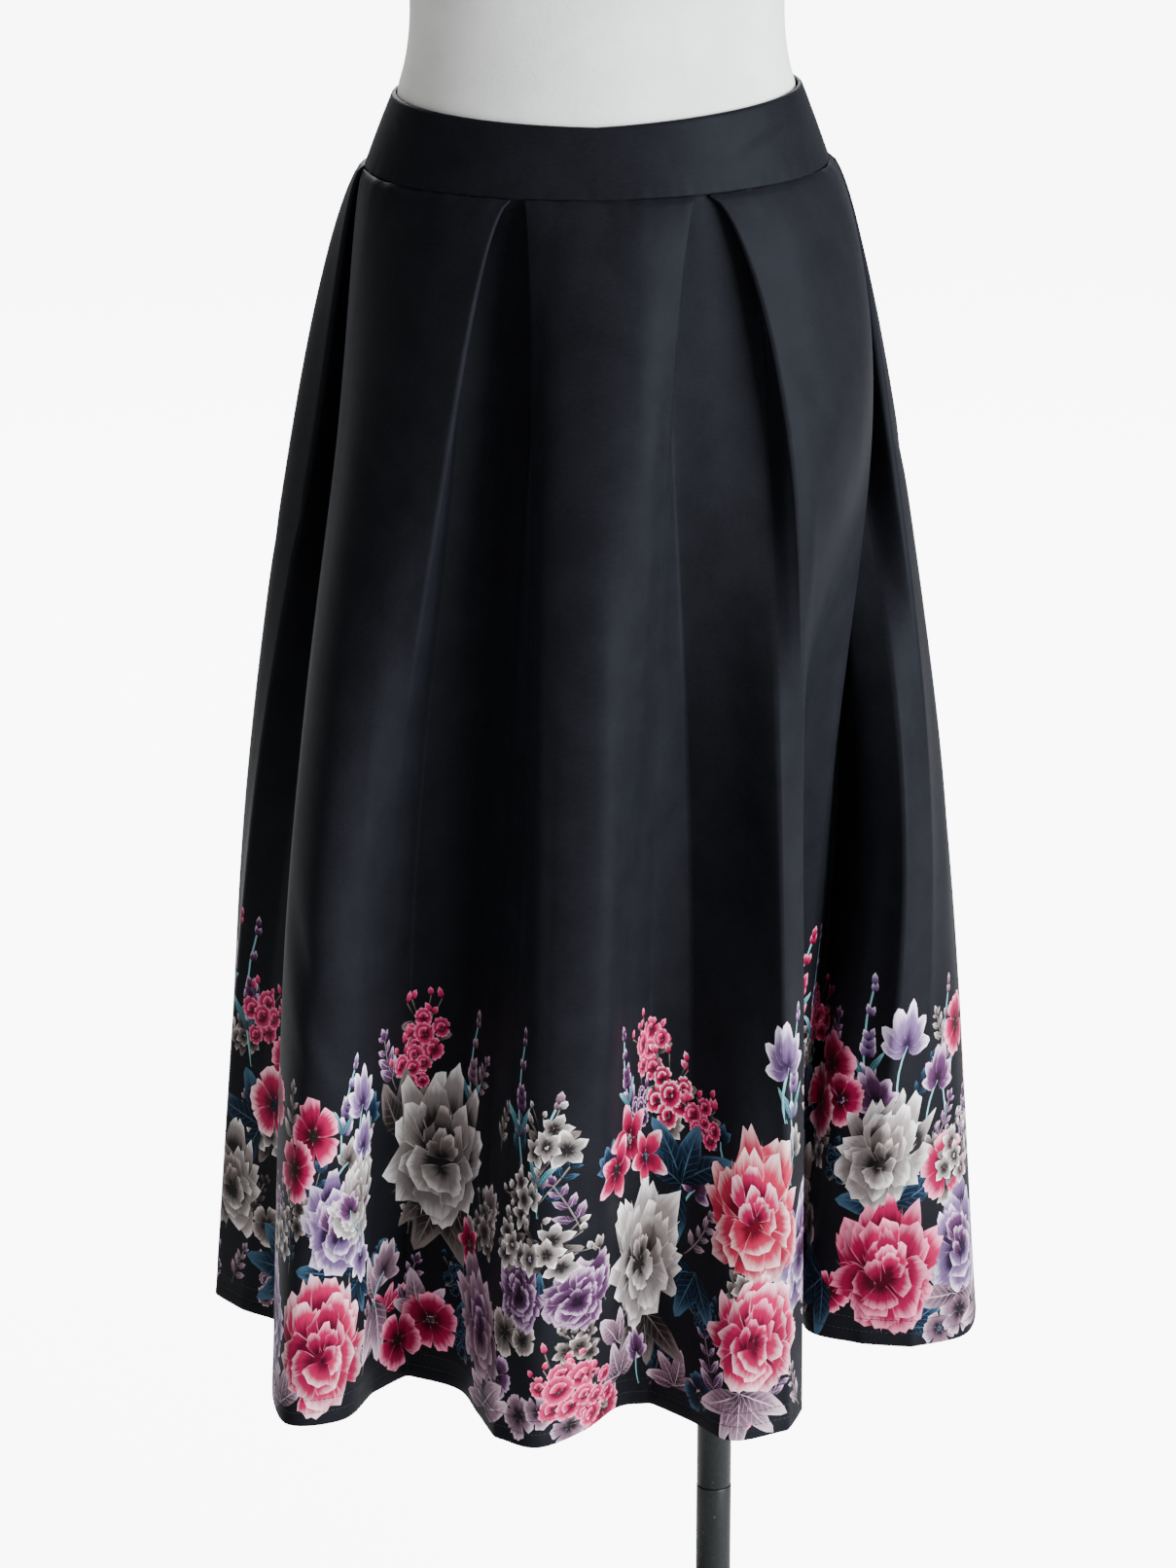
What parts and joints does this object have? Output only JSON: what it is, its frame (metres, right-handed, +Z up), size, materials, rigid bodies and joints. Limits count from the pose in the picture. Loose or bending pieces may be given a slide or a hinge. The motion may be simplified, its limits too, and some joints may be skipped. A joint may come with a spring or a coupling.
{
  "type": "box pleated skirt on a dress form",
  "caption": "Flared midi skirt of smooth black knit with inverted box pleats, a plain waistband and a floral border, on a limbless dress form and stand.",
  "frame": {"origin": "on the floor, under the middle of the round base plate, which lies under the middle of the waist", "axes": "+Z up, the skirt's front faces -Y, +X is the viewer's right from the front"},
  "size_m": [0.5039, 0.3702, 1.5963],
  "materials": {
    "scuba_cloth": "smooth black scuba knit with a soft satin sheen, printed with a floral border above the hem",
    "band_cloth": "smooth black scuba knit, folded double, soft satin sheen",
    "form_skin": "matte off-white, slightly mottled",
    "pole_metal": "dark satin paint with light scuffs",
    "base_metal": "dark powder coat"
  },
  "bodies": {
    "root": {"skirt_front": "scuba_cloth", "skirt_back": "scuba_cloth", "waistband_front": "band_cloth", "waistband_back": "band_cloth", "form_torso": "form_skin", "form_neck_cap": "form_skin", "stand_socket": "pole_metal", "stand_pole_upper": "pole_metal", "stand_pole_lower": "pole_metal", "base_collar": "base_metal", "base_plate": "base_metal"}
  },
  "joints": []
}
